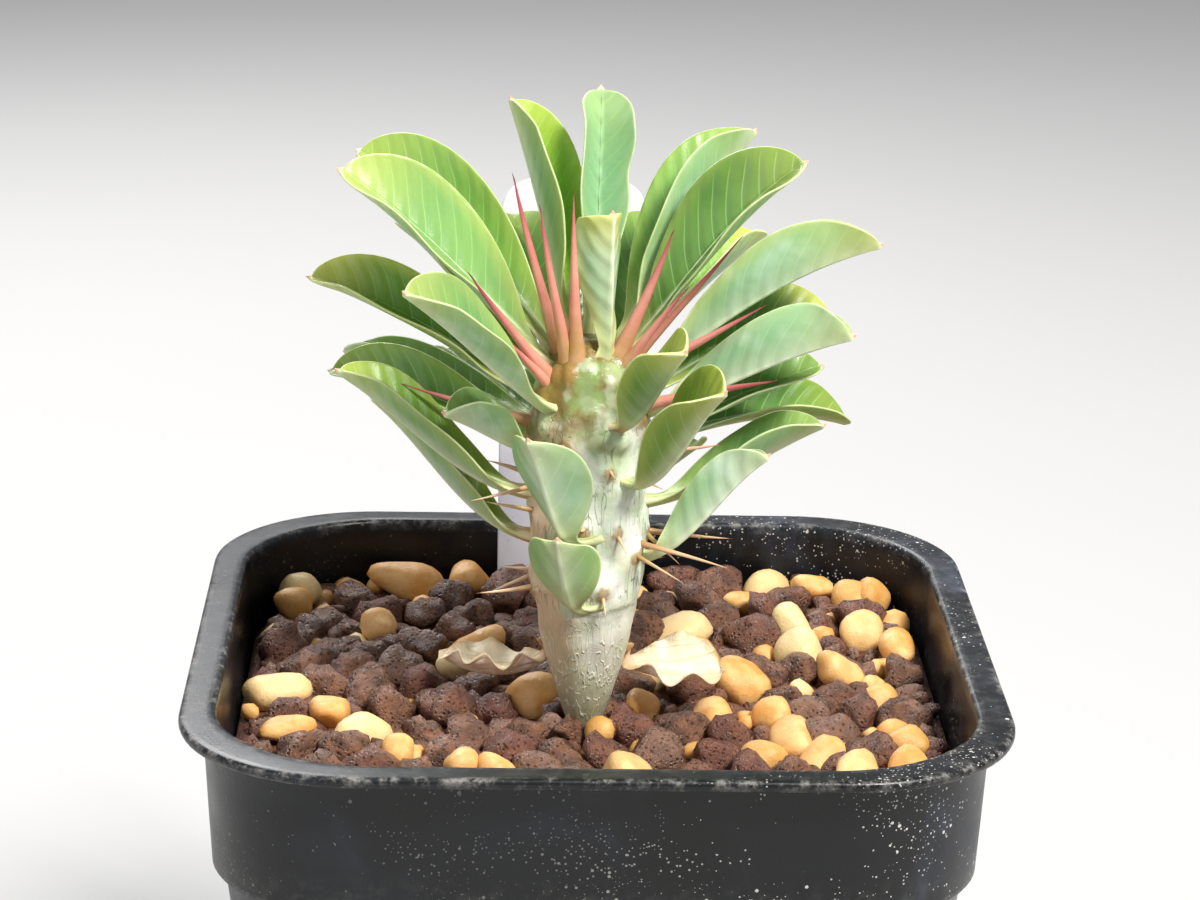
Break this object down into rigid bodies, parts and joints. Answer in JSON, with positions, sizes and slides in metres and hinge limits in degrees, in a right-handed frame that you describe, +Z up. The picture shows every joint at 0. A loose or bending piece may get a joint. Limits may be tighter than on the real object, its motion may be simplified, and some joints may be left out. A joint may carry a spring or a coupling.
{
  "type": "potted euphorbia guillauminiana",
  "caption": "Young potted succulent with a knobby, spiny stem, a crown of folded leaves, gravelly soil, a square black nursery pot and a blank plant label.",
  "frame": {"origin": "middle of the pot's footprint, at the bottom of its foot ring", "axes": "+Z up along the stem, +Y to the back, where the plant label stands, +X to the right as seen from the front"},
  "size_m": [0.09, 0.09, 0.1429],
  "materials": {
    "black_plastic": "dusty, slightly glossy moulded plastic, worn pale at the lip",
    "gravel_soil": "rough reddish brown lava grains with smooth ochre stones",
    "white_label": "smooth matt white plastic",
    "stem_bark": "silvery grey-green bark with fine cracks, green at the crown, with tan and red spines",
    "leaf_green": "satin leaf, pale midrib and edge",
    "dry_leaf": "papery, dry and cream"
  },
  "bodies": {
    "root": {"pot": "black_plastic", "soil": "gravel_soil", "plant_label": "white_label", "stem": "stem_bark", "leaf_01": "leaf_green", "leaf_02": "leaf_green", "leaf_03": "leaf_green", "leaf_04": "leaf_green", "leaf_05": "leaf_green", "leaf_06": "leaf_green", "leaf_07": "leaf_green", "leaf_08": "leaf_green", "leaf_09": "leaf_green", "leaf_10": "leaf_green", "leaf_11": "leaf_green", "leaf_12": "leaf_green", "leaf_13": "leaf_green", "leaf_14": "leaf_green", "leaf_15": "leaf_green", "leaf_16": "leaf_green", "leaf_17": "leaf_green", "leaf_18": "leaf_green", "leaf_19": "leaf_green", "leaf_20": "leaf_green", "leaf_21": "leaf_green", "leaf_22": "leaf_green", "leaf_23": "leaf_green", "leaf_24": "leaf_green", "leaf_25": "leaf_green", "leaf_26": "leaf_green", "leaf_27": "leaf_green", "leaf_28": "leaf_green", "leaf_29": "leaf_green", "leaf_30": "leaf_green", "leaf_31": "leaf_green", "leaf_32": "leaf_green", "leaf_33": "leaf_green", "leaf_34": "leaf_green", "leaf_35": "leaf_green", "dried_leaf_1": "dry_leaf", "dried_leaf_2": "dry_leaf"}
  },
  "joints": []
}
